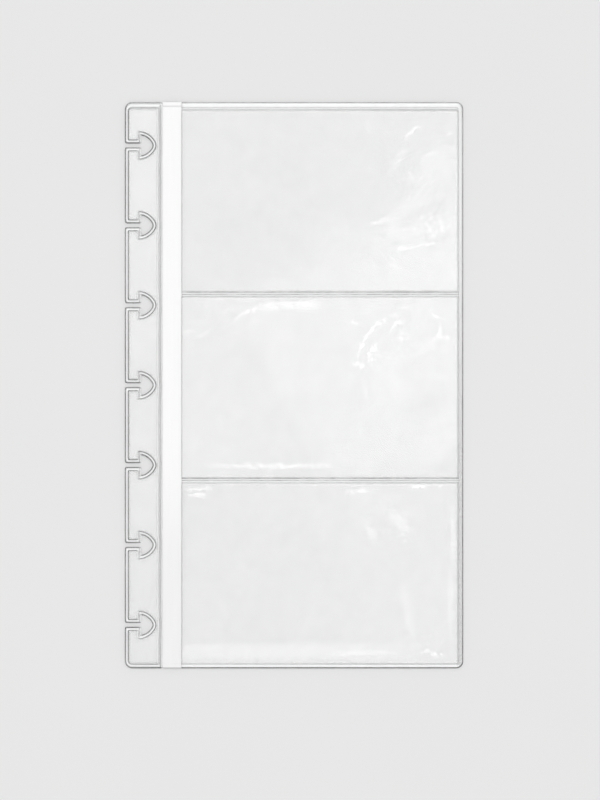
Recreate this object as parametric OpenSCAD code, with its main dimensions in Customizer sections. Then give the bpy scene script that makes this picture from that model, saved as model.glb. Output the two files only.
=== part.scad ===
// Planner card holder: a disc-bound page of clear vinyl with side-loading card pockets.
// The page lies flat, face up. The origin is at the middle of the page, on its back.

/* [Cards] */
// Long side of the card that a pocket takes
card_w = 85.6; // [70:0.1:100]
// Short side of that card
card_h = 54; // [40:0.1:70]
// Thickness of that card
card_t = 0.76; // [0.3:0.02:1.6]
// Play beyond the card's long side
card_play_w = 2.3; // [1:0.1:6]
// Play above and below the card
card_play_h = 3.6; // [1:0.1:8]
// Play over the card's face
card_play_t = 0.14; // [0.1:0.02:0.6]

/* [Pocket leaf] */
// Number of pockets
pocket_count = 3; // [2:1:4]
// Flat fused land along the top edge
top_land_w = 2; // [0.8:0.1:4]
// Flat fused land along the right edge
right_land_w = 1; // [0.6:0.1:4]
// Flat fused land along the bottom edge
bottom_land_w = 0.8; // [0.6:0.1:4]
// Flat fused land between two pockets
divider_land_w = 0.4; // [0.2:0.1:2]
// Formed shoulder beside each land, where the film rises over the card
shoulder_w = 0.6; // [0.3:0.1:1.5]
// Gap between a pocket's film and the seams round it
film_clear = 0.2; // [0.1:0.05:0.4]

/* [Vinyl] */
// Thickness of the clear vinyl
sheet_t = 0.25; // [0.15:0.05:0.5]
// Thickness of the white strip and of the binding's welds
strip_t = 0.2; // [0.1:0.05:0.4]
// Visible width of the white strip
strip_w = 6; // [4:0.5:12]
// How far the white strip laps onto each back sheet
lap_w = 1.2; // [0.6:0.1:1.8]
// Radius of the page's corners
corner_r = 2.2; // [1:0.1:4]

/* [Binding] */
// Width of the punched margin
binding_w = 12; // [11:0.5:16]
// Number of discs
disc_count = 7; // [2:1:7]
// Distance from disc to disc
disc_pitch = 25.4; // [20:0.1:28]
// Width of a notch's slot
slot_w = 1.3; // [0.8:0.1:3]
// Length of a notch's slot, from the page's edge to its head
slot_l = 5.2; // [3:0.1:5.5]
// Height of a notch's head
head_h = 6.5; // [5:0.1:8]
// Depth of a notch's head
head_d = 3.75; // [2.5:0.05:4]
// Radius of the arcs that form a notch's head
head_arc_r = 5.1; // [3.5:0.1:9]
// How far the tip of a notch's head reaches into the spine beside the tabs
tip_nick = 0.3; // [0.2:0.05:0.6]
// Width of the weld along the margin's edges
edge_weld_w = 1; // [0.5:0.1:1.5]
// Width of the weld round each notch
notch_weld_w = 1.1; // [0.5:0.1:1.5]

/* [Hidden] */
$fn = 48;
clear_vinyl = [0.9, 0.93, 0.95, 0.35];
fused_vinyl = [0.8, 0.84, 0.87, 0.7];
white_vinyl = [0.97, 0.97, 0.96];

// A pocket is the card and its play
pocket_w = card_w + card_play_w;
pocket_h = card_h + card_play_h;
pocket_gap = card_t + card_play_t;
divider_w = divider_land_w + 2 * shoulder_w;
pocket_step = pocket_h + divider_w;

// The page is the margin, the strip, the pockets and the seams round them
page_w = binding_w + strip_w + pocket_w + shoulder_w + right_land_w;
page_h = top_land_w + bottom_land_w + 2 * shoulder_w
    + pocket_count * pocket_h + (pocket_count - 1) * divider_w;

// Lines across the page, from left to right
x_left = -page_w / 2;
x_spine = x_left + slot_l + head_d - tip_nick;
x_strip = x_left + binding_w;
x_mouth = x_strip + strip_w;
x_window = x_mouth + pocket_w;
x_land = x_window + shoulder_w;
x_right = page_w / 2;

// Lines up the page; the windows are what the border seams leave free
y_top = page_h / 2;
y_land_top = y_top - top_land_w;
y_window_top = y_land_top - shoulder_w;
y_land_bottom = bottom_land_w - page_h / 2;
y_window_bottom = y_land_bottom + shoulder_w;

// Layers from the back of the page to its face
z_weld = sheet_t;
z_front = z_weld + strip_t;
z_film = sheet_t + pocket_gap;
seam_t = pocket_gap + sheet_t;

// A head's upper arc: the length of its chord, the way from the chord's middle to the arc's centre,
// and that centre, seen from the middle of the head's flat side
head_chord = norm([head_d, head_h / 2]);
head_apothem = sqrt(head_arc_r * head_arc_r - head_chord * head_chord / 4);
head_centre = [
    head_d / 2 - head_apothem * head_h / 2 / head_chord,
    head_h / 4 - head_apothem * head_d / head_chord
];

function film_name(i) = str("pocket_film_", i);
function divider_name(i) = str("divider_seam_", i);
function notch_weld_name(i) = str("notch_weld_", i);
function pocket_middle(i) = y_window_top - pocket_h / 2 - (i - 1) * pocket_step;
function divider_middle(i) = pocket_middle(i) - pocket_step / 2;
function notch_middle(i) = ((disc_count + 1) / 2 - i) * disc_pitch;

// The page's outline: a rectangle whose corners are quarter circles
module page_area() {
    difference() {
        square([page_w, page_h], center = true);
        for (sx = [-1, 1], sy = [-1, 1]) {
            translate([sx * (page_w / 2 - corner_r), sy * (page_h / 2 - corner_r)])
                difference() {
                    translate([sx * corner_r / 2, sy * corner_r / 2])
                        square(corner_r, center = true);
                    circle(corner_r);
                }
        }
    }
}

// The part of the page between two upright lines
module page_column(x_from, x_to) {
    intersection() {
        page_area();
        translate([x_from, -page_h / 2])
            square([x_to - x_from, page_h]);
    }
}

// A disc notch, grown by an even rim: a slot from the page's edge and a pointed arch behind it
module notch(i, rim) {
    translate([x_left, notch_middle(i)]) {
        translate([0, -slot_w / 2 - rim])
            square([slot_l + head_d / 2, slot_w + 2 * rim]);
        intersection() {
            translate([slot_l - rim, -head_h / 2 - rim])
                square([head_d + 2 * rim, head_h + 2 * rim]);
            head_arcs(rim);
        }
    }
}

// The two arcs of a notch's head, each the mirror image of the other, laid over one another
module head_arcs(rim) {
    intersection() {
        translate([slot_l + head_centre[0], head_centre[1]])
            circle(head_arc_r + rim);
        translate([slot_l + head_centre[0], -head_centre[1]])
            circle(head_arc_r + rim);
    }
}

module notches(rim) {
    for (i = [1:disc_count]) notch(i, rim);
}

// One sheet of the margin between two upright lines, punched with the notches
module punched_sheet(z, x_from, x_to) {
    color(clear_vinyl)
        translate([0, 0, z])
            linear_extrude(sheet_t)
                difference() {
                    page_column(x_from, x_to);
                    notches(0);
                }
}

// The back sheet's unbroken part beside the notches, which the white strip laps
module binding_back_spine() {
    punched_sheet(0, x_spine, x_strip + lap_w);
}

// The back sheet's tabs between the notches
module binding_back_tabs() {
    punched_sheet(0, x_left, x_spine);
}

module binding_front_spine() {
    punched_sheet(z_front, x_spine, x_strip);
}

module binding_front_tabs() {
    punched_sheet(z_front, x_left, x_spine);
}

// The fused line just inside the margin's outline, broken where the notch welds take over
module binding_edge_weld() {
    color(fused_vinyl)
        translate([0, 0, z_weld])
            linear_extrude(strip_t)
                difference() {
                    page_column(x_left, x_strip);
                    translate([x_left + edge_weld_w, edge_weld_w - page_h / 2])
                        square([binding_w - 2 * edge_weld_w, page_h - 2 * edge_weld_w]);
                    notches(notch_weld_w);
                }
}

module notch_weld(i) {
    color(fused_vinyl)
        translate([0, 0, z_weld])
            linear_extrude(strip_t)
                difference() {
                    notch(i, notch_weld_w);
                    notch(i, 0);
                }
}

module hinge_strip() {
    color(white_vinyl)
        translate([0, 0, z_weld])
            linear_extrude(strip_t)
                page_column(x_strip, x_mouth);
}

module pocket_back_sheet() {
    color(clear_vinyl)
        linear_extrude(sheet_t)
            page_column(x_mouth - lap_w, x_right);
}

// Section of a border seam: the fused land from the edge inwards, then the shoulder up to the film
module border_section(land_w) {
    window = land_w + shoulder_w;
    polygon([
        [0, 0], [land_w, 0], [window, pocket_gap],
        [window, seam_t], [land_w, sheet_t], [0, sheet_t]
    ]);
}

// Section of a divider: the land in the middle and a shoulder on each side
module divider_section() {
    land = divider_land_w / 2;
    window = divider_w / 2;
    polygon([
        [-window, pocket_gap], [-land, 0], [land, 0], [window, pocket_gap],
        [window, seam_t], [land, sheet_t], [-land, sheet_t], [-window, seam_t]
    ]);
}

// Carries a section along the page from the pockets' mouths to the line x_end
module run_across(x_end) {
    translate([x_mouth, 0, 0])
        rotate([90, 0, 90])
            linear_extrude(x_end - x_mouth)
                children();
}

// A seam at the top or bottom edge; it keeps the page's corner and meets the right seam on a mitre
module end_seam(side, land_w) {
    color(fused_vinyl)
        translate([0, 0, sheet_t])
            intersection() {
                translate([0, side * y_top, 0])
                    mirror([0, side > 0 ? 1 : 0, 0])
                        run_across(x_right)
                            border_section(land_w);
                linear_extrude(seam_t)
                    intersection() {
                        page_area();
                        polygon([
                            [x_mouth, side * y_top],
                            [x_right, side * y_top],
                            [x_right, side * (y_top - land_w)],
                            [x_land, side * (y_top - land_w)],
                            [x_window, side * (y_top - land_w - shoulder_w)],
                            [x_mouth, side * (y_top - land_w - shoulder_w)]
                        ]);
                    }
            }
}

module top_seam() {
    end_seam(1, top_land_w);
}

module bottom_seam() {
    end_seam(-1, bottom_land_w);
}

module right_seam() {
    color(fused_vinyl)
        translate([0, 0, sheet_t])
            intersection() {
                translate([x_right, y_top, 0])
                    rotate([90, 0, 0])
                        mirror([1, 0, 0])
                            linear_extrude(page_h)
                                border_section(right_land_w);
                linear_extrude(seam_t)
                    polygon([
                        [x_land, y_land_top],
                        [x_right, y_land_top],
                        [x_right, y_land_bottom],
                        [x_land, y_land_bottom],
                        [x_window, y_window_bottom],
                        [x_window, y_window_top]
                    ]);
            }
}

module divider_seam(i) {
    color(fused_vinyl)
        translate([0, divider_middle(i), sheet_t])
            run_across(x_window)
                divider_section();
}

// The front of a pocket, free along the mouth and clear of the seams on its other three sides
module pocket_film(i) {
    color(clear_vinyl)
        translate([x_mouth, pocket_middle(i) - pocket_h / 2 + film_clear, z_film])
            cube([pocket_w - film_clear, pocket_h - 2 * film_clear, sheet_t]);
}

binding_back_spine();
binding_back_tabs();
binding_front_spine();
binding_front_tabs();
binding_edge_weld();
for (i = [1:disc_count])
    notch_weld(i);
hinge_strip();
pocket_back_sheet();
top_seam();
right_seam();
bottom_seam();
for (i = [1:pocket_count - 1])
    divider_seam(i);
for (i = [1:pocket_count])
    pocket_film(i);
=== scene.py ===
"""A clear vinyl planner page with three card pockets: films, welds and white strip over the CAD frame."""
import math

import bpy
import numpy as np
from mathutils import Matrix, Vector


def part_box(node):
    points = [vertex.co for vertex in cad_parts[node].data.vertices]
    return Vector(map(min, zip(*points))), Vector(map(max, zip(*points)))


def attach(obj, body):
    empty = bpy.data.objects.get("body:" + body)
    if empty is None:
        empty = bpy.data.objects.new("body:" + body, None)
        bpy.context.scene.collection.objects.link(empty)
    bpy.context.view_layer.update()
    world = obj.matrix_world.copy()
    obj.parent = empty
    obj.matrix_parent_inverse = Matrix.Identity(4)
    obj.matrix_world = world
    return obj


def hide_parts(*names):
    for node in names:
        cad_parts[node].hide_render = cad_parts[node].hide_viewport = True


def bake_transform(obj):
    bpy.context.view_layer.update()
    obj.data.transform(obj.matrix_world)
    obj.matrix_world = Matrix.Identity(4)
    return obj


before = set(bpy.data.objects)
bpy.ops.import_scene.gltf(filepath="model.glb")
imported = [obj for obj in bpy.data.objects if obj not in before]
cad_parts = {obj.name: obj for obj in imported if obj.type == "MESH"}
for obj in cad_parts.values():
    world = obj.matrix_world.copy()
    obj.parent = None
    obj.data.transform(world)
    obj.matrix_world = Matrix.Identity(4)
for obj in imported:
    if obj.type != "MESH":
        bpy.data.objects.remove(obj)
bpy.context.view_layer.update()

MM = 0.001


# Sizes

def corners(node):
    """Lowest and highest corner of a CAD node, in millimetres."""
    return [np.array(corner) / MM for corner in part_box(node)]


tabs_low = corners("binding_back_tabs")[0]
front_low, front_high = corners("binding_front_tabs")
strip_low, strip_high = corners("hinge_strip")
back_low, back_high = corners("pocket_back_sheet")
spine_high = corners("binding_back_spine")[1]
film_boxes = [corners(f"pocket_film_{i}") for i in (1, 2, 3)]
divider_boxes = [corners(f"divider_seam_{i}") for i in (1, 2)]
notch_boxes = [corners(f"notch_weld_{i}") for i in range(1, 8)]
top_seam_low = corners("top_seam")[0]
bottom_seam_high = corners("bottom_seam")[1]
right_seam_low = corners("right_seam")[0]

X_LEFT, X_STRIP, X_MOUTH, X_RIGHT = tabs_low[0], strip_low[0], strip_high[0], back_high[0]
Y_TOP, Y_BOTTOM = back_high[1], back_low[1]
SHEET_T = back_high[2]
# Height of the fused lands, and of a film's plate
LAND_Z = 2 * SHEET_T
NOTCH_Y = [(low[1] + high[1]) / 2 for low, high in notch_boxes]

# Radius of the page's corners
CORNER_R = 2.2
# A disc notch as it is punched: width and length of its slot, height, depth and arc of its head
SLOT_W = 1.3
SLOT_L = 5.2
HEAD_H = 6.5
HEAD_D = 3.75
HEAD_ARC_R = 5.1

# How far a film's edge reaches out over the fused land beside its window,
# and the gap that its CAD plate keeps there
FILM_LAP = 0.15
FILM_GAP = 0.2
# A film's lower edge reaches further over the divider below it
LOWER_LAP = 0.3
# An empty pocket's film lies a little lower than the plate that leaves room for a card
FILM_REST = 1.15
# A hair of air that keeps two vinyl faces from lying in one plane
AIR = 0.01


# Meshes

def colour(hex_code):
    """An sRGB hex value as linear red, green, blue and alpha."""
    parts = [int(hex_code[i:i + 2], 16) / 255 for i in (1, 3, 5)]
    return [c / 12.92 if c <= 0.04045 else ((c + 0.055) / 1.055) ** 2.4 for c in parts] + [1.0]


def new_piece(name, points, faces, material, smooth=True, **marks):
    """An object at the origin from points in millimetres, with a number at each point for each mark."""
    mesh = bpy.data.meshes.new(name)
    mesh.from_pydata((points.reshape(-1, 3) * MM).tolist(), [], faces)
    mesh.polygons.foreach_set("use_smooth", np.full(len(mesh.polygons), smooth))
    for mark, values in marks.items():
        spots = np.broadcast_to(values, points.shape[:-1]).astype(np.float32).ravel()
        mesh.attributes.new(mark, "FLOAT", "POINT").data.foreach_set("value", spots)
    mesh.materials.append(material)
    mesh.update()
    piece = bpy.data.objects.new(name, mesh)
    bpy.context.scene.collection.objects.link(piece)
    return piece


def quads(rows, columns, close_rows=False, close_columns=False):
    """The four-cornered faces of a grid of points, row by row, closed round on itself where asked."""
    index = np.arange(rows * columns).reshape(rows, columns)
    if close_rows:
        index = np.vstack([index, index[:1]])
    if close_columns:
        index = np.hstack([index, index[:, :1]])
    corners_of = [index[:-1, :-1], index[:-1, 1:], index[1:, 1:], index[1:, :-1]]
    return np.stack(corners_of, axis=-1).reshape(-1, 4).tolist()


def rod(rows, columns):
    """The faces of a closed section carried along an open path: the wall, and a cap at each end."""
    index = np.arange(rows * columns).reshape(rows, columns)
    return quads(rows, columns, close_rows=True) + [index[:, 0].tolist(), index[::-1, -1].tolist()]


def slab(name, outline, z_low, z_high, material, **marks):
    """A flat sheet: a closed outline carried from z_low up to z_high, with a face below and above."""
    count = len(outline)
    levels = np.stack([np.c_[outline, np.full(count, z)] for z in (z_low, z_high)])
    below = list(range(count))[::-1]
    above = list(range(count, 2 * count))
    faces = quads(2, count, close_columns=True) + [below, above]
    return new_piece(name, levels, faces, material, smooth=False, **marks)


def thicken(piece, thickness):
    """Gives a sheet of vinyl its thickness below the surface that was worked out."""
    shell = piece.modifiers.new("thickness", "SOLIDIFY")
    shell.thickness = thickness * MM
    shell.offset = -1
    shell.use_even_offset = True
    return piece


def line_points(start, end, count):
    """Points from start up to but not at end, evenly spaced on a straight line."""
    steps = np.linspace(0, 1, count, endpoint=False)[:, None]
    return np.array(start) + steps * (np.array(end) - np.array(start))


def arc_points(centre, radius, from_degrees, to_degrees, count):
    """Points on an arc from one angle up to but not at another."""
    angles = np.radians(np.linspace(from_degrees, to_degrees, count, endpoint=False))
    return np.array(centre) + radius * np.c_[np.cos(angles), np.sin(angles)]


def eased(path, passes):
    """A closed path with its corners eased: each point averaged with its neighbours, pass after pass."""
    for _ in range(passes):
        path = (np.roll(path, 1, axis=0) + 2 * path + np.roll(path, -1, axis=0)) / 4
    return path


def band(distance, middle, width):
    """A soft band: a bell over a distance or a place, which is 1 at its middle."""
    return np.exp(-((distance - middle) / width) ** 2)


def smooth_step(share):
    """A share from 0 to 1 that leaves and arrives softly: three times its square less twice its cube."""
    return share * share * (3 - 2 * share)


# Outlines

# Distance of the points along an outline, and how often its corners are eased
STEP = 0.25
EASE_PASSES = 7


def steps_for(length):
    """How many steps of about STEP a stretch takes."""
    return max(2, int(round(length / STEP)))


def notch_path(y_mid, inset):
    """One notch from its upper lip to its lower one: slot, flat, arc to the tip and the same mirrored.

    The head's arc goes through the flat's end and the tip, so its centre lies off the chord's middle."""
    half = HEAD_H / 2
    chord = math.hypot(HEAD_D, half)
    apothem = math.sqrt(HEAD_ARC_R ** 2 - chord ** 2 / 4)
    centre_x = HEAD_D / 2 - apothem * half / chord
    centre_y = half / 2 - apothem * HEAD_D / chord
    radius = HEAD_ARC_R + inset
    flat_x = X_LEFT + SLOT_L - inset
    slot_y = SLOT_W / 2 + inset
    flat_end = centre_y + math.sqrt(radius ** 2 - (inset + centre_x) ** 2)
    start = math.degrees(math.atan2(flat_end - centre_y, -inset - centre_x))
    tip = math.degrees(math.atan2(-centre_y, math.sqrt(radius ** 2 - centre_y ** 2)))
    upper = np.vstack([
        line_points((X_LEFT + inset, slot_y), (flat_x, slot_y), steps_for(SLOT_L)),
        line_points((flat_x, slot_y), (flat_x, flat_end), steps_for(half)),
        arc_points((X_LEFT + SLOT_L + centre_x, centre_y), radius, start, tip, steps_for(chord)),
    ])
    tip_point = [[X_LEFT + SLOT_L + centre_x + math.sqrt(radius ** 2 - centre_y ** 2), 0]]
    lower = upper[::-1] * [1, -1]
    return np.vstack([upper, tip_point, lower]) + [0, y_mid]


# The margin's weld is wider along its top, its inner side and its bottom than along the notched side
TOP_WELD, INNER_WELD, BOTTOM_WELD = 1.75, 1.3, 1.27
# Beside each notch the inner weld is pinched, by this share and over this reach,
# which leaves the notch's rim room
PINCH, PINCH_REACH = 0.17, 3.2


def margin_path(inset, right):
    """The punched margin's outline, set in from the cut edge: from its upper right corner along the top,
    down past the notches, along the bottom and up the line right."""
    left, top, bottom = X_LEFT + inset, Y_TOP - inset * TOP_WELD, Y_BOTTOM + inset * BOTTOM_WELD
    radius = max(CORNER_R - inset, STEP)
    corner = (left + radius, top - radius)
    lower_corner = (left + radius, bottom + radius)
    arc_steps = steps_for(CORNER_R * math.pi / 2)
    width = X_STRIP - X_LEFT
    path = [
        line_points((right, top), (corner[0], top), steps_for(width)),
        arc_points(corner, radius, 90, 180, arc_steps),
    ]
    lip = SLOT_W / 2 + inset
    starts = [corner[1]] + [y - lip for y in NOTCH_Y]
    ends = [y + lip for y in NOTCH_Y] + [lower_corner[1]]
    reach = [Y_TOP - CORNER_R] + NOTCH_Y + [Y_BOTTOM + CORNER_R]
    for k, (start, end) in enumerate(zip(starts, ends)):
        path.append(line_points((left, start), (left, end), steps_for(reach[k] - reach[k + 1])))
        if k < len(NOTCH_Y):
            path.append(notch_path(NOTCH_Y[k], inset))
    inner = line_points((right, bottom), (right, top), steps_for(Y_TOP - Y_BOTTOM))
    beside = band(inner[:, 1:], np.array(NOTCH_Y), PINCH_REACH).sum(axis=1)
    inner[:, 0] += PINCH * INNER_WELD * inset * beside
    path += [
        arc_points(lower_corner, radius, 180, 270, arc_steps),
        line_points((lower_corner[0], bottom), (right, bottom), steps_for(width)),
        inner,
    ]
    return eased(np.vstack(path), EASE_PASSES)


def leaf_path(from_top, from_right, from_bottom, corner_r):
    """The pocket leaf's border from the mouths round top, right and bottom, set in by three amounts."""
    top, right, bottom = Y_TOP - from_top, X_RIGHT - from_right, Y_BOTTOM + from_bottom
    arc_steps = steps_for(CORNER_R * math.pi / 2)
    run = steps_for(X_RIGHT - X_MOUTH) // 2
    return np.vstack([
        line_points((X_MOUTH, top), (right - corner_r, top), run),
        arc_points((right - corner_r, top - corner_r), corner_r, 90, 0, arc_steps),
        line_points((right, top - corner_r), (right, bottom + corner_r), 2 * run),
        arc_points((right - corner_r, bottom + corner_r), corner_r, 0, -90, arc_steps),
        line_points((right - corner_r, bottom), (X_MOUTH, bottom), run),
        [[X_MOUTH, bottom]],
    ])


# Materials

def add(tree, kind, links=None, **settings):
    """Adds a node, sets its properties, and gives each named input a value or a link."""
    made = tree.nodes.new(kind)
    for key, value in settings.items():
        setattr(made, key, value)
    for socket, value in (links or {}).items():
        if isinstance(value, bpy.types.NodeSocket):
            tree.links.new(value, made.inputs[socket])
        else:
            made.inputs[socket].default_value = value
    return made


def new_material(name):
    """An empty node material and its tree."""
    material = bpy.data.materials.new(name)
    material.use_nodes = True
    material.node_tree.nodes.clear()
    return material, material.node_tree


def clear_vinyl(name, haze, cloud_mm, ripple_mm, ripple_depth_mm, roughness):
    """Calendered clear PVC: nearly all light goes through, both faces mirror a little, and the sheet has
    a faint milk.

    The marks on a piece paint light and shade: line is painted shade, a grey tint on a cut edge or a
    weld's flank that stands for the light such an edge sends sideways, milk is vinyl whitened by the
    welding die and in places a painted highlight beside a line, and gleam is a painted reflection, which
    raises the mirror for painted highlights and cuts it for painted shade."""
    material, tree = new_material(name)
    place = add(tree, "ShaderNodeTexCoord").outputs["Object"]
    line = add(tree, "ShaderNodeAttribute", attribute_name="line").outputs["Fac"]
    milk = add(tree, "ShaderNodeAttribute", attribute_name="milk").outputs["Fac"]
    gleam = add(tree, "ShaderNodeAttribute", attribute_name="gleam").outputs["Fac"]
    clouds = add(tree, "ShaderNodeTexNoise", {
        "Vector": place, "Scale": 1 / (cloud_mm * MM), "Detail": 3.0,
    })
    ripples = add(tree, "ShaderNodeTexNoise", {
        "Vector": place, "Scale": 1 / (ripple_mm * MM), "Detail": 2.0,
    })
    skin = add(tree, "ShaderNodeBump", {
        "Height": ripples.outputs["Fac"], "Distance": ripple_depth_mm * MM, "Strength": 1.0,
    }).outputs["Normal"]
    cloudy = add(tree, "ShaderNodeMapRange", {
        "Value": clouds.outputs["Fac"], "From Min": 0.3, "From Max": 0.7,
        "To Min": haze * 0.4, "To Max": haze * 1.6,
    }).outputs["Result"]
    whitened = add(tree, "ShaderNodeMath", {0: cloudy, 1: milk},
                   operation="ADD", use_clamp=True).outputs[0]
    # The line mark paints shade: it greys the light that goes through the vinyl
    tint = add(tree, "ShaderNodeMix", {
        "Factor": line, "A": colour("#FFFFFF"), "B": colour("#606162"),
    }, data_type="RGBA")
    through = add(tree, "ShaderNodeBsdfTransparent", {"Color": tint.outputs[2]})
    scatter = add(tree, "ShaderNodeBsdfDiffuse", {"Color": colour("#F7F8F8")})
    body = add(tree, "ShaderNodeMixShader", {0: whitened, 1: through.outputs[0], 2: scatter.outputs[0]})
    mirror = add(tree, "ShaderNodeBsdfGlossy", {"Roughness": roughness, "Normal": skin})
    # Light is mirrored only where it enters, so an IOR above PVC's 1.53 stands for the far face too
    edge = add(tree, "ShaderNodeFresnel", {"IOR": 1.7, "Normal": skin}).outputs[0]
    inside = add(tree, "ShaderNodeNewGeometry").outputs["Backfacing"]
    outside = add(tree, "ShaderNodeMath", {0: 1.0, 1: inside}, operation="SUBTRACT").outputs[0]
    plain = add(tree, "ShaderNodeMath", {0: edge, 1: outside}, operation="MULTIPLY").outputs[0]
    # The gleam mark paints reflection: it raises the mirror for painted highlights and cuts it for painted
    # shade
    gain = add(tree, "ShaderNodeMath", {0: 1.0, 1: gleam}, operation="ADD").outputs[0]
    shine = add(tree, "ShaderNodeMath", {0: plain, 1: gain},
                operation="MULTIPLY", use_clamp=True).outputs[0]
    surface = add(tree, "ShaderNodeMixShader", {0: shine, 1: body.outputs[0], 2: mirror.outputs[0]})
    add(tree, "ShaderNodeOutputMaterial", {"Surface": surface.outputs[0]})
    return material


def white_vinyl():
    """Opaque white PVC strip: a satin white with the faint lengthwise drag of the calender, greyer at its
    line marks, which are painted shade."""
    material, tree = new_material("opaque white PVC")
    place = add(tree, "ShaderNodeTexCoord").outputs["Object"]
    line = add(tree, "ShaderNodeAttribute", attribute_name="line").outputs["Fac"]
    drag_mm, drag_stretch, drag_depth_mm = 0.8, 0.05, 0.01
    along = add(tree, "ShaderNodeMapping", {
        "Vector": place, "Scale": (1.0, drag_stretch, 1.0),
    }).outputs[0]
    drag = add(tree, "ShaderNodeTexNoise", {
        "Vector": along, "Scale": 1 / (drag_mm * MM), "Detail": 2.0,
    })
    tone = add(tree, "ShaderNodeMix", {
        "Factor": drag.outputs["Fac"], "A": colour("#F3F3F3"), "B": colour("#F8F8F8"),
    }, data_type="RGBA")
    skin = add(tree, "ShaderNodeBump", {
        "Height": drag.outputs["Fac"], "Distance": drag_depth_mm * MM, "Strength": 0.6,
    })
    # The line mark paints shade into the white
    marked = add(tree, "ShaderNodeMix", {
        "Factor": line, "A": tone.outputs[2], "B": colour("#8A8A8A"),
    }, data_type="RGBA")
    shader = add(tree, "ShaderNodeBsdfPrincipled", {
        "Base Color": marked.outputs[2], "Roughness": 0.32, "IOR": 1.53, "Normal": skin.outputs[0],
    })
    add(tree, "ShaderNodeOutputMaterial", {"Surface": shader.outputs[0]})
    return material


def floor_paint():
    """Matt pale grey board, with a breath of unevenness."""
    material, tree = new_material("pale grey board")
    place = add(tree, "ShaderNodeTexCoord").outputs["Object"]
    board_mm = 60
    grain = add(tree, "ShaderNodeTexNoise", {
        "Vector": place, "Scale": 1 / (board_mm * MM), "Detail": 2.0,
    })
    tone = add(tree, "ShaderNodeMix", {
        "Factor": grain.outputs["Fac"], "A": colour("#E7E7E7"), "B": colour("#E9E9E9"),
    }, data_type="RGBA")
    shader = add(tree, "ShaderNodeBsdfDiffuse", {"Color": tone.outputs[2]})
    add(tree, "ShaderNodeOutputMaterial", {"Surface": shader.outputs[0]})
    return material


film_vinyl = clear_vinyl(
    "clear PVC film", haze=0.05, cloud_mm=14, ripple_mm=5, ripple_depth_mm=0.02, roughness=0.07)
sheet_vinyl = clear_vinyl(
    "clear PVC sheet", haze=0.04, cloud_mm=20, ripple_mm=9, ripple_depth_mm=0.015, roughness=0.1)
fused_vinyl = clear_vinyl(
    "fused clear PVC", haze=0.06, cloud_mm=3, ripple_mm=0.8, ripple_depth_mm=0.02, roughness=0.16)
strip_vinyl = white_vinyl()


# The punched margin

# Rows of a weld's section: inset, height, and then the line and the milk, each where the edge faces
# left, up, right and down. The line is painted shade, set for each side by how the light falls on it;
# the milk is the die's whitening and in places a painted highlight beside a line
MARGIN_WELD = [
    (0.00, SHEET_T + AIR, (0.0, 0.0, 0.0, 0.0), (0.0, 0.0, 0.0, 0.0)),
    (0.00, 0.60, (0.7, 1.0, 0.0, 1.0), (0.0, 0.0, 0.6, 0.0)),
    (0.08, 0.68, (0.9, 1.0, 0.0, 1.0), (0.0, 0.0, 0.8, 0.0)),
    (0.24, 0.69, (1.0, 0.9, 0.1, 1.0), (0.0, 0.0, 0.7, 0.0)),
    (0.36, 0.64, (0.4, 0.2, 0.22, 0.6), (0.3, 0.5, 0.0, 0.2)),
    (0.60, 0.62, (0.0, 0.0, 0.28, 0.0), (0.85, 0.9, 0.0, 0.85)),
    (0.86, 0.64, (0.0, 0.0, 0.2, 0.0), (0.7, 0.7, 0.0, 0.6)),
    (0.96, 0.70, (0.7, 0.4, 0.12, 0.6), (0.0, 0.0, 0.0, 0.0)),
    (1.06, 0.73, (0.95, 0.7, 0.08, 0.85), (0.0, 0.0, 0.2, 0.0)),
    (1.20, 0.73, (0.9, 0.6, 0.0, 0.75), (0.0, 0.0, 0.6, 0.0)),
    (1.30, 0.71, (0.1, 0.1, 0.0, 0.1), (0.6, 0.5, 0.5, 0.5)),
    (1.42, 0.70, (0.0, 0.0, 0.0, 0.0), (0.9, 0.5, 0.0, 0.5)),
    (1.42, SHEET_T + AIR, (0.0, 0.0, 0.0, 0.0), (0.0, 0.0, 0.0, 0.0)),
]
# The rows past this inset make the weld's inner line
INNER_LINE = 0.9
# A weld's lines come and go, and where they are faintest they keep this share
FAINTEST = 0.75
# How much fainter the margin's lines of painted shade are along its top, and its inner line along its
# bottom
TOP_FAINT, BOTTOM_FAINT = 0.55, 0.5


def unevenness(count, seed, waves=9):
    """A smooth closed row of numbers from 0 to 1: a sum of waves that go round 3, 7, 11 and more times,
    with falling size and seeded phases."""
    phases = np.random.default_rng(seed).uniform(0, 2 * math.pi, waves)
    turns = np.linspace(0, 2 * math.pi, count, endpoint=False)
    pitch = (3 + 4 * np.arange(waves))[:, None]
    row = (np.sin(pitch * turns + phases[:, None]) / np.sqrt(pitch)).sum(axis=0)
    return (row - row.min()) / np.ptp(row)


def facing(path, turn):
    """How far each point of a path faces left, up, right and down: the squares of the parts of its
    outward normal.

    The turn is 1 for a path that runs anticlockwise and -1 for a clockwise one."""
    along = np.gradient(path, axis=0) * turn
    out_x, out_y = along[:, 1], -along[:, 0]
    parts = np.stack([
        np.minimum(out_x, 0), np.maximum(out_y, 0), np.maximum(out_x, 0), np.minimum(out_y, 0),
    ])
    return parts ** 2 / (out_x ** 2 + out_y ** 2)


def weld_marks(section, sides, line_strength):
    """Line and milk of every point of a weld: each row's four values weighed by the side that the point
    faces, so the painted shade of the line differs from side to side, and the line by its strength there."""
    line = np.array([row[2] for row in section]) @ sides * line_strength
    milk = np.array([row[3] for row in section]) @ sides
    return {"line": line, "milk": milk}


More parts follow.
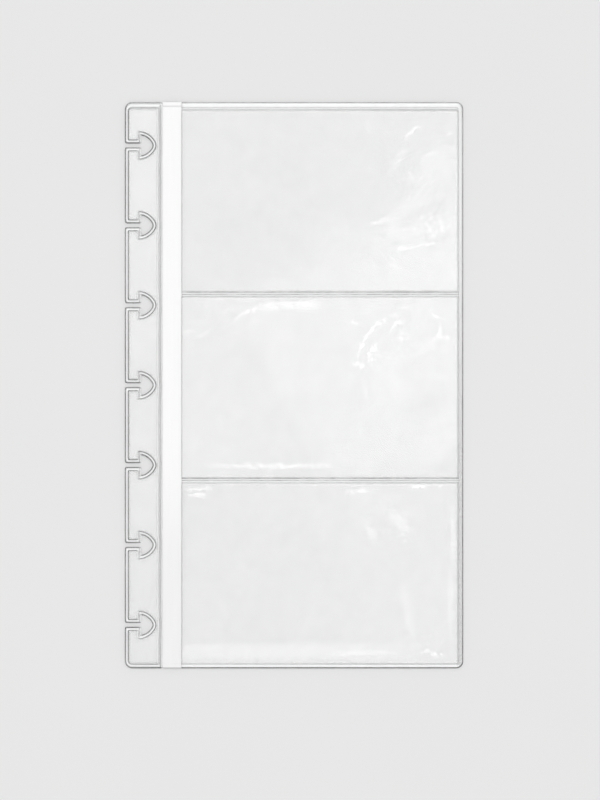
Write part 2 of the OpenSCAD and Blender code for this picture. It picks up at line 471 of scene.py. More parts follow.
def margin_weld():
    """The fused rim of the margin: the weld's section carried round the outline, each row on the path at
    its own inset."""
    paths = [margin_path(row[0], X_STRIP - row[0] * INNER_WELD) for row in MARGIN_WELD]
    points = np.stack([np.c_[path, np.full(len(path), row[1])] for path, row in zip(paths, MARGIN_WELD)])
    at_top = np.clip((points[0, :, 1] - Y_TOP) / CORNER_R + 1, 0, 1)
    # Strength of the painted shade lines: uneven round the rim, and fainter along the top
    line_strength = FAINTEST + (1 - FAINTEST) * unevenness(points.shape[1], seed=3)
    line_strength *= 1 - TOP_FAINT * at_top
    faces = quads(*points.shape[:2], close_rows=True, close_columns=True)
    marks = weld_marks(MARGIN_WELD, facing(paths[0], 1), line_strength)
    # Along the bottom only the cut edge is dark, and the line inside it is faint
    at_bottom = np.clip((Y_BOTTOM - points[0, :, 1]) / CORNER_R + 1, 0, 1)
    inner_rows = np.array([row[0] > INNER_LINE for row in MARGIN_WELD])
    marks["line"][inner_rows] *= 1 - BOTTOM_FAINT * at_bottom
    return new_piece("margin_weld", points, faces, fused_vinyl, **marks)


weld = margin_weld()
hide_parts("binding_edge_weld", *[f"notch_weld_{i}" for i in range(1, 8)])
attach(weld, "binding")


margin_cut = margin_path(0, spine_high[0])
margin_back = slab("margin_back_sheet", margin_cut, 0, SHEET_T, sheet_vinyl, line=0.0, milk=0.0)
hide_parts("binding_back_spine", "binding_back_tabs")
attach(margin_back, "binding")

FRONT_INSET = MARGIN_WELD[-1][0]
front_cut = margin_path(FRONT_INSET + AIR, X_STRIP - (FRONT_INSET + AIR) * INNER_WELD)
# Painted reflection: the margin's front sheet gleams by this much at its middle, and by this much more at
# its top
FRONT_GLEAM, FRONT_GLEAM_RISE = 0.18, 0.95
front_gleam = FRONT_GLEAM + FRONT_GLEAM_RISE * front_cut[:, 1] / Y_TOP
margin_front = slab("margin_front_sheet", front_cut, front_low[2], front_high[2], sheet_vinyl,
                    line=0.0, milk=0.0, gleam=front_gleam)
# Its rim is fused into the weld, so its outline is smaller than it was cut
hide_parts("binding_front_spine", "binding_front_tabs")
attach(margin_front, "binding")


# The white strip

# The welding die leaves a groove across each end of the strip: its place from the end, width and depth
STRIP_GROOVE, GROOVE_W, GROOVE_DEPTH = 1.35, 0.14, 0.05
# Height of the crown across the strip
STRIP_CROWN = 0.07
# Lines of the strip's grid across its width and along its middle
STRIP_ACROSS, STRIP_ALONG = 33, 351
# Its ends have closer lines: how far from the end these reach, and their distance
STRIP_END, STRIP_END_STEP = 2.4, 0.08
# Painted shade: grey in the top groove and along the bottom edge, how far in that edge's grey lies, and
# their width
GROOVE_GREY, EDGE_GREY, EDGE_IN, GREY_W = 0.35, 0.65, 0.15, 0.25
# Painted shade: the strip greys by this much from one height on the page down to another
LOW_GREY, LOW_FROM, LOW_TO = 0.12, -18, -63


def white_strip():
    """The strip that the leaf folds on: a flat grid across and along it, with a faint crown across its
    width and a narrow groove across each end."""
    across = np.linspace(X_STRIP + AIR, X_MOUTH, STRIP_ACROSS)
    end_lines = np.arange(0, STRIP_END, STRIP_END_STEP)
    middle_lines = np.linspace(Y_BOTTOM + STRIP_END, Y_TOP - STRIP_END, STRIP_ALONG)
    along = np.concatenate([Y_BOTTOM + end_lines, middle_lines, Y_TOP - end_lines[::-1]])
    x, y = np.meshgrid(across, along, indexing="ij")
    crown = STRIP_CROWN * np.sin(math.pi * (x - X_STRIP) / (X_MOUTH - X_STRIP))
    groove = GROOVE_DEPTH * band(Y_TOP - np.abs(y), STRIP_GROOVE, GROOVE_W)
    points = np.stack([x, y, strip_high[2] + AIR + crown - groove], axis=-1)
    # Painted shade: grey in the top groove, along the bottom edge and towards the page's bottom
    line = np.maximum.reduce([
        GROOVE_GREY * band(Y_TOP - y, STRIP_GROOVE, GREY_W),
        EDGE_GREY * band(y - Y_BOTTOM, EDGE_IN, GREY_W),
        LOW_GREY * smooth_step(np.clip((LOW_FROM - y) / (LOW_FROM - LOW_TO), 0, 1)),
    ])
    piece = new_piece("white_strip", points, quads(*x.shape), strip_vinyl, line=line)
    return thicken(piece, strip_high[2] - strip_low[2])


strip = white_strip()
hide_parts("hinge_strip")
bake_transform(strip)


# The pocket leaf

# The back sheet behind the pockets: its outline is the leaf's border and the edge under the white strip
strip_side = [[back_low[0], Y_BOTTOM], [back_low[0], Y_TOP]]
leaf_cut = np.vstack([leaf_path(0, 0, 0, CORNER_R), strip_side])[::-1]
back = slab("pocket_back_sheet_film", leaf_cut, 0, SHEET_T, sheet_vinyl, line=0.0, milk=0.0)
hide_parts("pocket_back_sheet")
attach(back, "leaf")

# Widths of the fused lands beside the films
TOP_LAND = Y_TOP - top_seam_low[1] - FILM_LAP
RIGHT_LAND = X_RIGHT - right_seam_low[0] - FILM_LAP
BOTTOM_LAND = bottom_seam_high[1] - Y_BOTTOM - FILM_LAP

# As the margin's rows, with the inset as a share of the land; the line is painted shade, heavier on edges
# that face down than on those that face up
BORDER_WELD = [
    (0.00, SHEET_T + AIR, (0.0, 0.0, 0.0, 0.0), (0.0, 0.0, 0.0, 0.0)),
    (0.00, 0.48, (0.0, 0.55, 0.9, 1.0), (0.0, 0.0, 0.0, 0.0)),
    (0.05, 0.54, (0.0, 0.55, 0.9, 1.0), (0.0, 0.0, 0.0, 0.0)),
    (0.13, 0.55, (0.0, 0.3, 0.8, 1.0), (0.0, 0.2, 0.0, 0.0)),
    (0.22, 0.54, (0.0, 0.0, 0.35, 1.0), (0.0, 0.9, 0.0, 0.0)),
    (0.32, 0.51, (0.0, 0.0, 0.0, 0.3), (0.0, 0.9, 0.4, 0.4)),
    (0.45, 0.50, (0.0, 0.0, 0.0, 0.0), (0.0, 0.9, 0.6, 0.9)),
    (0.60, 0.50, (0.0, 0.0, 0.0, 0.0), (0.0, 0.8, 0.7, 0.9)),
    (0.67, 0.53, (0.0, 0.1, 0.0, 0.0), (0.0, 0.4, 0.8, 0.9)),
    (0.72, 0.55, (0.0, 0.14, 0.0, 0.0), (0.0, 0.2, 0.8, 0.9)),
    (0.78, 0.53, (0.0, 0.06, 0.0, 0.0), (0.0, 0.4, 0.8, 0.9)),
    (0.88, 0.51, (0.0, 0.0, 0.0, 0.0), (0.0, 0.6, 0.5, 0.9)),
    (1.00, 0.51, (0.0, 0.0, 0.0, 0.0), (0.0, 0.4, 0.2, 0.7)),
    (1.00, SHEET_T + AIR, (0.0, 0.0, 0.0, 0.0), (0.0, 0.0, 0.0, 0.0)),
]
# How much fainter than at the page's middle the border's lines of painted shade are at its top
BORDER_FAINT = 0.2
# Painted shade on the right land: it loses white and greys towards the page's bottom. How strong the
# shade is at the page's middle, how much stronger further down, the share of milk it takes and the grey it
# adds
LAND_SHADE, LAND_SHADE_RISE, LAND_SHADE_MILK, LAND_SHADE_GREY = 0.75, 1.15, 0.75, 0.14


def border_weld():
    """The fused land round the pockets: its section carried along top, right and bottom, as wide as each
    land is."""
    paths = [
        leaf_path(share * TOP_LAND, share * RIGHT_LAND, share * BOTTOM_LAND, CORNER_R * (1 - share / 2))
        for share in [row[0] for row in BORDER_WELD]
    ]
    points = np.stack([np.c_[path, np.full(len(path), row[1])] for path, row in zip(paths, BORDER_WELD)])
    up = points[0, :, 1] / Y_TOP
    # Strength of the painted shade lines: uneven along the border, and fainter towards the page's top
    line_strength = FAINTEST + (1 - FAINTEST) * unevenness(points.shape[1], seed=5)
    line_strength *= 1 - BORDER_FAINT * up
    # The path runs clockwise, so the faces are turned round
    faces = [face[::-1] for face in rod(*points.shape[:2])]
    sides = facing(paths[0], -1)
    marks = weld_marks(BORDER_WELD, sides, line_strength)
    # Painted shade on the right land, growing towards the page's bottom: less milk and more grey line
    inner_half = np.clip([[2 * row[0]] for row in BORDER_WELD], 0, 1)
    land_shade = inner_half * sides[2] * np.clip(LAND_SHADE - LAND_SHADE_RISE * up, 0, 1)
    marks["milk"] *= 1 - LAND_SHADE_MILK * land_shade
    marks["line"][:-1] += LAND_SHADE_GREY * land_shade[:-1]
    return new_piece("border_weld", points, faces, fused_vinyl, **marks)


border = border_weld()
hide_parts("top_seam", "right_seam", "bottom_seam")
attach(border, "leaf")

# Rows of a divider's section: place up from its middle, height, line (painted shade on its flanks), milk
DIVIDER_WELD = [
    (-0.65, SHEET_T + AIR, 0.0, 0.0),
    (-0.65, 0.50, 0.0, 0.9),
    (-0.50, 0.50, 0.0, 0.95),
    (-0.32, 0.51, 0.0, 0.95),
    (-0.24, 0.55, 0.4, 0.0),
    (-0.12, 0.57, 0.6, 0.0),
    (-0.04, 0.55, 0.2, 0.1),
    (0.08, 0.51, 0.0, 0.7),
    (0.30, 0.50, 0.0, 0.7),
    (0.50, 0.50, 0.0, 0.3),
    (0.50, SHEET_T + AIR, 0.0, 0.0),
]
# A divider narrows to a nib at the mouths: how long the nib is, and the share of the width at its tip
NIB, NIB_TIP = 0.5, 0.1
# Points along a divider
DIVIDER_STEPS = 400
# Where its line is faintest, it keeps this share
DIVIDER_FAINTEST = 0.1


def divider_weld(number):
    """A fused line between two pockets: its section carried straight from a pointed nib at the mouths to
    the right land."""
    low, high = divider_boxes[number - 1]
    middle = (low[1] + high[1]) / 2
    along = np.linspace(X_MOUTH - NIB, X_RIGHT - RIGHT_LAND - AIR, DIVIDER_STEPS)
    wide = np.clip((along - X_MOUTH + NIB) / NIB, NIB_TIP, 1)
    points = np.stack([
        np.c_[along, middle + row[0] * wide, np.full(len(along), row[1])] for row in DIVIDER_WELD
    ])
    uneven = unevenness(len(along), seed=10 + number, waves=14)
    # Strength of the painted shade line: uneven along the divider
    line_strength = DIVIDER_FAINTEST + (1 - DIVIDER_FAINTEST) * uneven
    line = np.array([row[2] for row in DIVIDER_WELD])[:, None] * line_strength
    milk = np.array([row[3] for row in DIVIDER_WELD])[:, None] * np.ones(len(along))
    faces = rod(*points.shape[:2])
    return new_piece(f"divider_weld_{number}", points, faces, fused_vinyl, line=line, milk=milk)


for number in (1, 2):
    divider = divider_weld(number)
    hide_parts(f"divider_seam_{number}")
    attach(divider, "leaf")


# Pocket films

CREASES = {
    # pocket: start, bend and end of each fold from the page's middle, its half width, slope and painted
    # gleam
    1: [
        ((36.0, 78.1), (36.9, 82.2), (41.1, 82.4), 0.6, 0.20, 0.4),
        ((40.2, 80.8), (40.7, 80.9), (41.2, 80.8), 0.5, 0.10, 0.35),
        ((48.6, 79.8), (49.5, 80.0), (50.3, 79.8), 0.4, 0.10, 0.35),
        ((23.2, 82.8), (24.0, 81.4), (23.9, 79.6), 0.7, 0.14, 0.25),
        ((36.0, 69.0), (36.6, 66.6), (37.3, 64.2), 0.9, 0.16, 0.35),
        ((42.3, 73.0), (43.2, 73.4), (44.1, 73.6), 0.4, 0.10, 0.25),
        ((24.6, 51.5), (26.8, 51.6), (29.0, 51.9), 0.35, 0.15, 0.6),
        ((27.0, 52.7), (29.4, 53.0), (31.8, 52.5), 0.5, 0.12, 0.35),
        ((43.3, 54.9), (44.8, 52.9), (41.2, 51.4), 0.5, 0.20, 0.6),
        ((46.2, 56.6), (46.8, 52.2), (46.5, 47.8), 0.5, 0.15, 0.35),
        ((37.3, 50.4), (38.2, 48.6), (39.4, 47.4), 0.6, 0.14, 0.3),
        ((43.0, 50.0), (43.9, 48.4), (44.5, 46.2), 0.6, 0.16, 0.4),
        ((33.0, 41.3), (32.2, 44.2), (36.8, 43.5), 0.5, 0.24, 0.65),
        ((36.4, 43.6), (44.6, 46.2), (45.8, 43.8), 0.4, 0.20, 0.5),
        ((30.7, 41.3), (31.2, 39.7), (32.5, 38.9), 0.45, 0.20, 0.6),
        ((29.9, 38.8), (32.0, 37.2), (34.6, 37.2), 0.8, 0.14, 0.3),
        ((24.8, 40.0), (25.6, 38.4), (25.4, 36.4), 0.6, 0.14, 0.25),
        ((32.0, 51.5), (33.0, 49.0), (32.4, 46.5), 3.2, 0.03, 0.1),
    ],
    2: [
        ((33.4, 22.6), (23.4, 20.4), (20.2, 8.8), 0.55, 0.24, 1.0),
        ((25.9, 12.8), (24.2, 11.2), (24.3, 7.2), 0.9, 0.24, 1.1),
        ((18.6, 6.4), (20.6, 7.2), (21.7, 5.8), 0.7, 0.22, 1.1),
        ((31.2, 17.2), (31.2, 20.8), (34.9, 20.2), 0.55, 0.18, 0.7),
        ((33.9, 17.2), (33.9, 14.6), (33.7, 12.0), 0.65, 0.16, 0.7),
        ((32.6, 24.4), (34.8, 24.7), (37.0, 24.3), 0.5, 0.12, 0.35),
        ((43.3, 24.6), (43.8, 21.4), (48.4, 20.8), 0.4, 0.20, 0.55),
        ((46.5, 19.6), (46.8, 15.4), (44.0, 14.0), 0.5, 0.20, 0.6),
        ((45.6, 15.8), (47.4, 15.0), (49.4, 15.1), 0.6, 0.18, 0.6),
        ((38.0, 10.0), (42.0, 13.5), (46.0, 13.5), 2.2, 0.05, 0.18),
        ((18.4, 20.1), (19.3, 20.0), (20.2, 19.6), 0.6, 0.16, 0.5),
        ((12.0, 21.0), (15.6, 20.6), (19.2, 19.9), 0.4, 0.08, 0.2),
        ((21.5, 22.0), (23.6, 23.4), (25.6, 23.8), 1.1, 0.06, 0.2),
        ((18.6, 4.2), (17.6, 2.0), (17.1, -0.8), 0.7, 0.12, 0.3),
        ((22.5, -1.0), (22.5, -3.6), (24.0, -5.0), 0.4, 0.14, 0.4),
        ((20.8, -12.6), (20.9, -14.4), (21.1, -16.2), 0.55, 0.10, 0.25),
        ((28.0, 13.0), (30.0, 3.0), (29.0, -8.0), 4.5, 0.03, 0.14),
        ((-12.0, 24.6), (-4.0, 25.9), (7.4, 25.0), 1.1, 0.16, 0.6),
        ((-2.0, 25.2), (3.0, 25.4), (7.6, 25.1), 1.5, 0.10, 0.65),
        ((-18.9, 20.8), (-16.8, 23.2), (-9.5, 25.2), 0.55, 0.20, 0.6),
        ((-26.2, 27.2), (-23.6, 27.3), (-21.0, 27.2), 0.35, 0.14, 0.5),
        ((-18.6, 26.8), (-15.0, 27.0), (-11.4, 26.8), 0.5, 0.10, 0.3),
        ((-22.9, 22.8), (-20.0, 24.6), (-16.2, 24.6), 0.9, 0.08, 0.25),
        ((-30.4, 19.9), (-28.8, 19.9), (-27.2, 19.5), 0.5, 0.12, 0.3),
        ((-34.9, 17.2), (-33.0, 17.2), (-30.8, 17.2), 0.35, 0.12, 0.4),
        ((-31.5, 15.2), (-29.6, 15.6), (-27.4, 16.8), 0.55, 0.16, 0.55),
        ((-27.5, -25.6), (-8.0, -25.9), (11.6, -25.5), 0.8, -0.20, 0.65),
    ],
    3: [
        ((-34.6, -33.2), (-30.0, -33.0), (-25.4, -32.6), 0.6, 0.14, 0.3),
        ((-33.6, -35.2), (-31.0, -34.8), (-27.6, -34.8), 0.7, 0.14, 0.4),
        ((16.8, -34.3), (20.0, -33.6), (24.0, -33.2), 0.7, 0.12, 0.3),
        ((37.4, -31.9), (39.5, -32.2), (41.6, -32.2), 0.5, 0.12, 0.45),
        ((45.8, -32.0), (46.4, -31.9), (47.0, -32.1), 0.4, 0.10, 0.35),
        ((29.6, -40.2), (33.5, -42.0), (36.2, -47.0), 1.9, 0.12, 0.25),
        ((22.4, -43.6), (24.6, -46.4), (25.6, -50.0), 1.4, 0.10, 0.18),
        ((34.9, -49.4), (35.3, -49.5), (35.7, -49.4), 0.35, 0.10, 0.4),
        ((50.2, -38.6), (50.5, -48.0), (50.3, -57.4), 0.9, -0.10, 0.18),
        ((49.6, -58.4), (49.8, -69.0), (49.6, -79.8), 0.85, -0.08, 0.15),
        ((34.2, -63.0), (36.0, -71.5), (37.6, -80.1), 1.5, 0.10, 0.14),
        ((-60.0, -84.6), (0.0, -84.6), (37.0, -84.2), 2.6, -0.04, 0.2),
        ((8.0, -85.8), (18.0, -84.6), (33.0, -84.6), 1.0, -0.08, 0.3),
        ((40.5, -85.4), (41.0, -83.4), (43.0, -84.6), 0.4, 0.16, 0.55),
        ((42.6, -84.5), (43.8, -85.0), (45.4, -86.2), 0.5, 0.16, 0.5),
        ((46.2, -84.8), (46.9, -85.2), (47.6, -85.6), 0.35, 0.10, 0.35),
    ],
}
# Points along a fold's path
CREASE_STEPS = 40
# Most of a fold shows by its gleam, a painted highlight, so only this share of its slope is kept
CREASE_SLOPE = 0.23
# The step of a fold dies away over this many half widths
CREASE_REACH = 4
# Along its path a fold fades as half a wave to this power, with this share cut off at each end
FADE_POWER, FADE_CUT = 0.7, 0.04
# Folds up to this half width have a fully broken gleam
SMOOTH_WIDTH = 0.6
# How strongly the folds of each pocket gleam, as painted highlights
CREASE_GLEAM = {1: 2.6, 2: 2.6, 3: 8.0}
# Crumpled patches: middle, reach across and up, height and length of the folds
CRUMPLES = {
    1: [((43.0, 50.0), (9.0, 9.0), 0.12, 9.0), ((37.5, 70.0), (9.0, 14.0), 0.07, 11.0)],
    2: [((42.0, 14.5), (10.0, 10.0), 0.12, 9.0), ((27.0, 8.0), (9.0, 12.0), 0.07, 10.0)],
    3: [((33.0, -45.0), (10.0, 10.0), 0.1, 10.0), ((42.0, -82.0), (8.0, 5.0), 0.07, 7.0)],
}
# Shortest and longest fold of a patch, as shares of its length of folds
CRUMPLE_SPREAD = (0.6, 1.5)


def bell(x, y, patch):
    """How strongly a patch is crumpled at a point: 1 in its middle, falling as a bell over its reach."""
    (mid_x, mid_y), (reach_x, reach_y) = patch[:2]
    return band(x, mid_x, reach_x) * band(y, mid_y, reach_y)


def crumple(x, y, patch, seed, waves=7):
    """Folds of a crumpled patch: plane sines without their sign, which are sharp in their valleys, less
    their mean and under the patch's bell."""
    (mid_x, mid_y), _, height, length = patch
    draw = np.random.default_rng(seed)
    heading = draw.uniform(0, math.pi, waves)
    phase = draw.uniform(0, math.pi, waves)
    stretch = draw.uniform(*CRUMPLE_SPREAD, waves)
    folds = np.zeros_like(x)
    for turn, shift, wide in zip(heading, phase, stretch):
        across = (x - mid_x) * math.cos(turn) + (y - mid_y) * math.sin(turn)
        folds += wide * (np.abs(np.sin(math.pi * across / (length * wide) + shift)) - 2 / math.pi)
    return height * bell(x, y, patch) * folds / math.sqrt(waves)


def crease_shape(x, y, crease, broken):
    """Height and gleam of a fold: a soft step across its path, which is a bow drawn by three points.

    A point's place along the path and its distance away come from the path's nearest point and heading.
    The step dies away on both sides and fades towards both ends and past them. A painted highlight, the
    gleam, runs along the fold, and the narrower the fold, the more its gleam is broken into blotches."""
    start, bend, end, width, slope, gleam = crease
    t = np.linspace(0, 1, CREASE_STEPS)[:, None]
    path = (1 - t) ** 2 * np.array(start) + 2 * t * (1 - t) * np.array(bend) + t ** 2 * np.array(end)
    heading = np.gradient(path, axis=0)
    off_x, off_y = x[..., None] - path[:, 0], y[..., None] - path[:, 1]
    nearest = (off_x ** 2 + off_y ** 2).argmin(axis=-1)[..., None]
    near_x = np.take_along_axis(off_x, nearest, axis=-1)[..., 0]
    near_y = np.take_along_axis(off_y, nearest, axis=-1)[..., 0]
    nearest = nearest[..., 0]
    way_x, way_y = heading[nearest, 0], heading[nearest, 1]
    step = np.hypot(way_x, way_y)
    away = (way_x * near_y - way_y * near_x) / step / width
    place = nearest + (way_x * near_x + way_y * near_y) / step ** 2
    on_path = np.clip(place, 0, CREASE_STEPS - 1)
    past_end = np.abs(place - on_path) * step / width
    turn = math.pi * (FADE_CUT + (1 - 2 * FADE_CUT) * on_path / (CREASE_STEPS - 1))
    fade = np.sin(turn) ** FADE_POWER * np.exp(-past_end ** 2)
    dying = np.exp(-(away / CREASE_REACH) ** 2)
    height = CREASE_SLOPE * slope * width * fade * np.tanh(away) * dying
    blotchy = 1 + min(SMOOTH_WIDTH / width, 1) * (broken - 1)
    return height, gleam * blotchy * fade * np.exp(-away ** 4)


def plane_waves(x, y, lengths, draw):
    """A stack of plane waves, one for each length: sines of the distance along a drawn direction, with a
    drawn phase."""
    turns, shifts = [draw.uniform(0, 2 * math.pi, len(lengths))[:, None, None] for _ in range(2)]
    across = x * np.cos(turns) + y * np.sin(turns)
    return np.sin(2 * math.pi * across / lengths[:, None, None] + shifts)


# Shortest and longest of a slack film's slow waves, and their height
SLACK_LENGTHS, SLACK_HEIGHT = (14, 45), 0.05


def slack(x, y, seed, waves=14):
    """Slow waves of a slack film: a sum of plane waves, each with a height in proportion to its length."""
    draw = np.random.default_rng(seed)
    lengths = draw.uniform(*SLACK_LENGTHS, waves)
    total = np.tensordot(lengths, plane_waves(x, y, lengths, draw), 1)
    return SLACK_HEIGHT * total / lengths.mean() / math.sqrt(waves)


# Shortest and longest wave of a blotchy field as shares of its length, and how hard its sum is squeezed
BLOTCH_SPREAD, BLOTCH_SQUEEZE = (0.6, 1.6), 1.4


def blotches(x, y, length, seed, waves=24):
    """A blotchy field from 0 to 1: plane waves of about one length, summed and squeezed."""
    draw = np.random.default_rng(seed)
    lengths = length * draw.uniform(*BLOTCH_SPREAD, waves)
    total = plane_waves(x, y, lengths, draw).sum(axis=0)
    return 0.5 + 0.5 * np.tanh(BLOTCH_SQUEEZE * total / math.sqrt(waves))


# Distance of a film's grid lines, and where they lie from its free edge and, closer, from a weld
FILM_STEP = 0.36
FREE_LINES = np.array([0.0, 0.15, 0.3, 0.45])
WELD_LINES = np.array([0.0, 0.08, 0.16, 0.24, 0.32, 0.4, 0.5, 0.6, 0.75, 0.95, 1.2, 1.5])
# How far in from a weld a film has climbed about two thirds of its shoulder, and the power of its climb
SHOULDER_W, SHOULDER_POWER = 0.32, 1.8
# Waves and folds calm down over this distance from a weld
CALM = 2.0
# A film that opens has its full lift where it is this far from the welds, or further
LIFT_REACH = 22
# Folds wander off their drawn paths by up to half this, in bends of this length
WANDER, WANDER_LENGTH = 0.6, 3.0
# Their gleam is broken into blotches of this length: its share between them, and what they add to it
BLOTCH, GLEAM_LEAST, GLEAM_MORE = 1.7, 0.45, 0.95
# Crumpled patches have flecks of gleam, painted glints: their length, strength in each pocket and share of
# the patch
FLECK, FLECK_GLEAM, FLECK_SHARE = 1.5, {1: 0.9, 2: 0.8, 3: 0.9}, 0.25
# Seeds of what is drawn for the films, to which a pocket's number is added, and for its crumpled patches
# ten times the number and a count
SLACK_SEED, LINE_SEED, CRUMPLE_SEED, WANDER_X_SEED, WANDER_Y_SEED = 20, 30, 40, 60, 70
BLOTCH_SEED, FLECK_SEED = 80, 90


def film_lines(low, high, first_lines):
    """Grid lines from low, with its own first lines, to a welded end at high, with wider ones between."""
    start = low + first_lines
    end = high - WELD_LINES[::-1]
    between = np.arange(start[-1] + FILM_STEP, end[0] - FILM_STEP / 2, FILM_STEP)
    return np.concatenate([start, between, end])


# Strength of the painted shade, the line, on each film's shoulder along its top, bottom and right end,
# and of the painted highlight, the gleam, beside it
SHOULDER_LINES = {1: (0.02, 0.16, 0.0), 2: (0.0, 0.17, 0.06), 3: (0.02, 0.02, 0.08)}
SHOULDER_GLEAM = {1: (1.0, 0.4, 1.0), 2: (0.6, 0.4, 0.8), 3: (0.6, 1.0, 0.4)}
# Painted shade: the mirror is cut by this much on the steep of a shoulder
SHOULDER_DIM = 0.95
# Painted reflection: gleam of each film at three distances from its mouth, and what is added round its
# edge
GLEAM_STOPS = (14, 39, 69)
FILM_GLEAM = {1: (-0.15, -0.18, 0.43), 2: (0.6, 0.0, 0.25), 3: (-0.43, -0.25, 0.22)}
EDGE_GLEAM, EDGE_REACH = 0.15, 8.0
# Bands beside a film's edges, as the distance of each band's middle and its width: the lines on the three
# shoulders and on the free edge, the gleam beside a shoulder, and a shoulder's steep
TOP_BAND, BOTTOM_BAND, RIGHT_BAND, MOUTH_BAND = (0.22, 0.14), (0.2, 0.22), (0.25, 0.25), (0.0, 0.3)
BRIGHT_BAND, STEEP_BAND = (0.7, 0.3), (0.2, 0.3)
# Strength of the painted shade, the line, on the free edge
MOUTH_LINE = 0.08
# The line over a divider comes and goes: its unevenness times the first, less the second, and at its
# least the third
LINE_SWING, LINE_LESS, LINE_LEAST = 2.5, 0.6, 0.35


def film_marks(number, from_mouth, from_top, from_bottom, from_right):
    """Line and gleam of a film, painted shade and painted reflection: grey bands on its three shoulders
    and its free edge, bright ones beside them, the mirror cut on a shoulder's steep, and a gleam that
    changes towards the closed end. The line over a divider comes and goes."""
    uneven = unevenness(from_mouth.shape[0], seed=LINE_SEED + number, waves=14)[:, None]
    uneven = np.clip(LINE_SWING * uneven - LINE_LESS, LINE_LEAST, 1)
    top, bottom, right = SHOULDER_LINES[number]
    line = np.maximum.reduce([
        top * band(from_top, *TOP_BAND), bottom * uneven * band(from_bottom, *BOTTOM_BAND),
        right * band(from_right, *RIGHT_BAND), MOUTH_LINE * band(from_mouth, *MOUTH_BAND),
    ])
    top, bottom, right = SHOULDER_GLEAM[number]
    bright = np.maximum.reduce([
        top * band(from_top, *BRIGHT_BAND), bottom * band(from_bottom, *BRIGHT_BAND),
        right * band(from_right, *BRIGHT_BAND),
    ])
    from_weld = np.minimum.reduce([from_top, from_bottom, from_right])
    from_edge = np.minimum(from_weld, from_mouth)
    gleam = np.interp(from_mouth, GLEAM_STOPS, FILM_GLEAM[number]) + bright
    gleam += EDGE_GLEAM * band(from_edge, 0, EDGE_REACH) - SHOULDER_DIM * band(from_weld, *STEEP_BAND)
    return {"line": line, "gleam": gleam}


def pocket_film(number):
    """A pocket's front: a height over a grid. It climbs a shoulder from three welds and lies slack between
    them, with its folds, and its fourth side, at the mouth, is free.

    Gives the film, how far each point lifts as the pocket opens, its right end and its height."""
    low, high = film_boxes[number - 1]
    past = FILM_GAP + FILM_LAP
    below = FILM_GAP + (LOWER_LAP if number < len(film_boxes) else FILM_LAP)
    y_low, y_high, x_high = low[1] - below, high[1] + past, high[0] + past
    across, along = film_lines(X_MOUTH, x_high, FREE_LINES), film_lines(y_low, y_high, WELD_LINES)
    x, y = np.meshgrid(across, along, indexing="ij")
    inward = np.minimum(np.minimum(y_high - y, y - y_low), x_high - x)
    rise = 1 - np.exp(-(np.maximum(inward, 0) / SHOULDER_W) ** SHOULDER_POWER)
    calm = 1 - np.exp(-inward / CALM)
    waves = slack(x, y, SLACK_SEED + number)
    bent_x = x + WANDER * (blotches(x, y, WANDER_LENGTH, WANDER_X_SEED + number) - 0.5)
    bent_y = y + WANDER * (blotches(x, y, WANDER_LENGTH, WANDER_Y_SEED + number) - 0.5)
    broken = GLEAM_LEAST + GLEAM_MORE * blotches(x, y, BLOTCH, BLOTCH_SEED + number)
    folds = np.array([crease_shape(bent_x, bent_y, crease, broken) for crease in CREASES[number]])
    waves += folds[:, 0].sum(axis=0)
    first_seed = CRUMPLE_SEED + 10 * number
    waves += sum(crumple(x, y, patch, first_seed + k) for k, patch in enumerate(CRUMPLES[number]))
    z = LAND_Z + 2 * AIR + (FILM_REST - LAND_Z) * rise + waves * calm
    marks = film_marks(number, x - X_MOUTH, y_high - y, y - y_low, x_high - x)
    # Painted highlights along the folds, and painted glints in the crumpled patches
    marks["gleam"] += CREASE_GLEAM[number] * folds[:, 1].max(axis=0)
    crumpled = sum(bell(x, y, patch) for patch in CRUMPLES[number])
    peaks = blotches(x, y, FLECK, FLECK_SEED + number) - (1 - FLECK_SHARE)
    flecks = np.clip(peaks, 0, 1) / FLECK_SHARE
    marks["gleam"] += FLECK_GLEAM[number] * crumpled * flecks
    points = np.stack([x, y, z], axis=-1)
    film = new_piece(f"pocket_film_{number}_front", points, quads(*x.shape), film_vinyl, **marks)
    lift = smooth_step(np.clip(inward / LIFT_REACH, 0, 1))
    return thicken(film, SHEET_T), lift, x_high, y_high - y_low


for number in (1, 2, 3):
    film, lift, x_high, height = pocket_film(number)
    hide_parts(f"pocket_film_{number}")
    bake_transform(film)


# Floor, light and camera

def floor():
    """A wide pale board just under the page."""
    half, drop = 6000, 0.05
    sides = np.array([[-1, -1], [1, -1], [1, 1], [-1, 1]])
    points = np.c_[half * sides, np.full(len(sides), -drop)]
    board = new_piece("floor", points, [[0, 1, 2, 3]], floor_paint(), smooth=False)


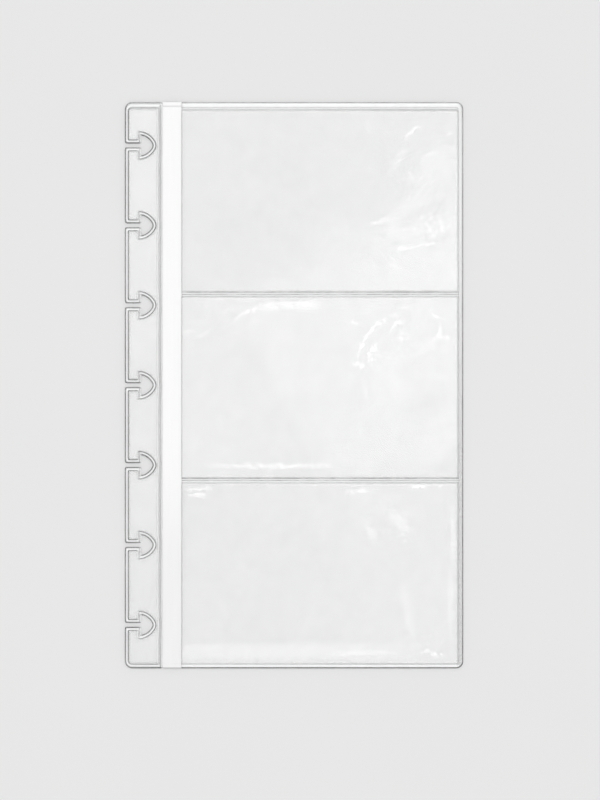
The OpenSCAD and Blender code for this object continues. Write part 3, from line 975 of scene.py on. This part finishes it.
def softbox(name, place, size, power):
    """A rectangular studio light that faces the page's middle."""
    lamp = bpy.data.lights.new(name, "AREA")
    lamp.shape = "RECTANGLE"
    lamp.size, lamp.size_y = size
    lamp.energy = power
    light = bpy.data.objects.new(name, lamp)
    light.location = place
    bpy.context.scene.collection.objects.link(light)
    reach = math.hypot(place[0], place[1])
    light.rotation_euler = (math.atan2(reach, place[2]), 0, math.atan2(place[0], -place[1]))


def sky():
    """A studio room with pale walls and a dimmer roof, as a strength that falls with height."""
    world = bpy.data.worlds.new("studio room")
    world.use_nodes = True
    tree = world.node_tree
    tree.nodes.clear()
    way = add(tree, "ShaderNodeTexCoord").outputs["Generated"]
    height = add(tree, "ShaderNodeSeparateXYZ", {0: way}).outputs["Z"]
    walls = add(tree, "ShaderNodeMapRange", {
        "Value": height, "From Min": 0.42, "From Max": 0.75, "To Min": 0.85, "To Max": 0.25,
    }, interpolation_type="SMOOTHSTEP").outputs["Result"]
    air = add(tree, "ShaderNodeBackground", {"Color": colour("#FFFFFF"), "Strength": walls})
    add(tree, "ShaderNodeOutputWorld", {"Surface": air.outputs[0]})
    bpy.context.scene.world = world


def camera():
    """Straight above the page, a little below and right of its middle, with a long lens."""
    lens, sensor, frame_height = 100, 36, 254.5
    right, below = 1.89, 4.7
    view = bpy.data.cameras.new("camera")
    view.lens, view.sensor_width = lens, sensor
    eye = bpy.data.objects.new("camera", view)
    eye.location = (right * MM, -below * MM, frame_height * lens / sensor * MM)
    bpy.context.scene.collection.objects.link(eye)
    bpy.context.scene.camera = eye


floor()
sky()
softbox("ceiling softbox", (0, 0, 1.4), (0.56, 0.76), 2.7)
softbox("right ceiling softbox", (0.16, 0.09, 1.4), (0.22, 0.4), 0.16)
softbox("north softbox", (0, 0.56, 1.3), (0.9, 0.38), 2.8)
softbox("south softbox", (0, -0.56, 1.3), (0.9, 0.38), 2.5)
softbox("east softbox", (0.48, 0, 1.3), (0.7, 0.38), 1.9)
softbox("west softbox", (-0.48, 0, 1.3), (0.7, 0.38), 1.9)
camera()
bpy.context.scene.view_settings.view_transform = "Standard"
# A slanting look crosses many faces of clear film
bpy.context.scene.cycles.transparent_max_bounces = 32
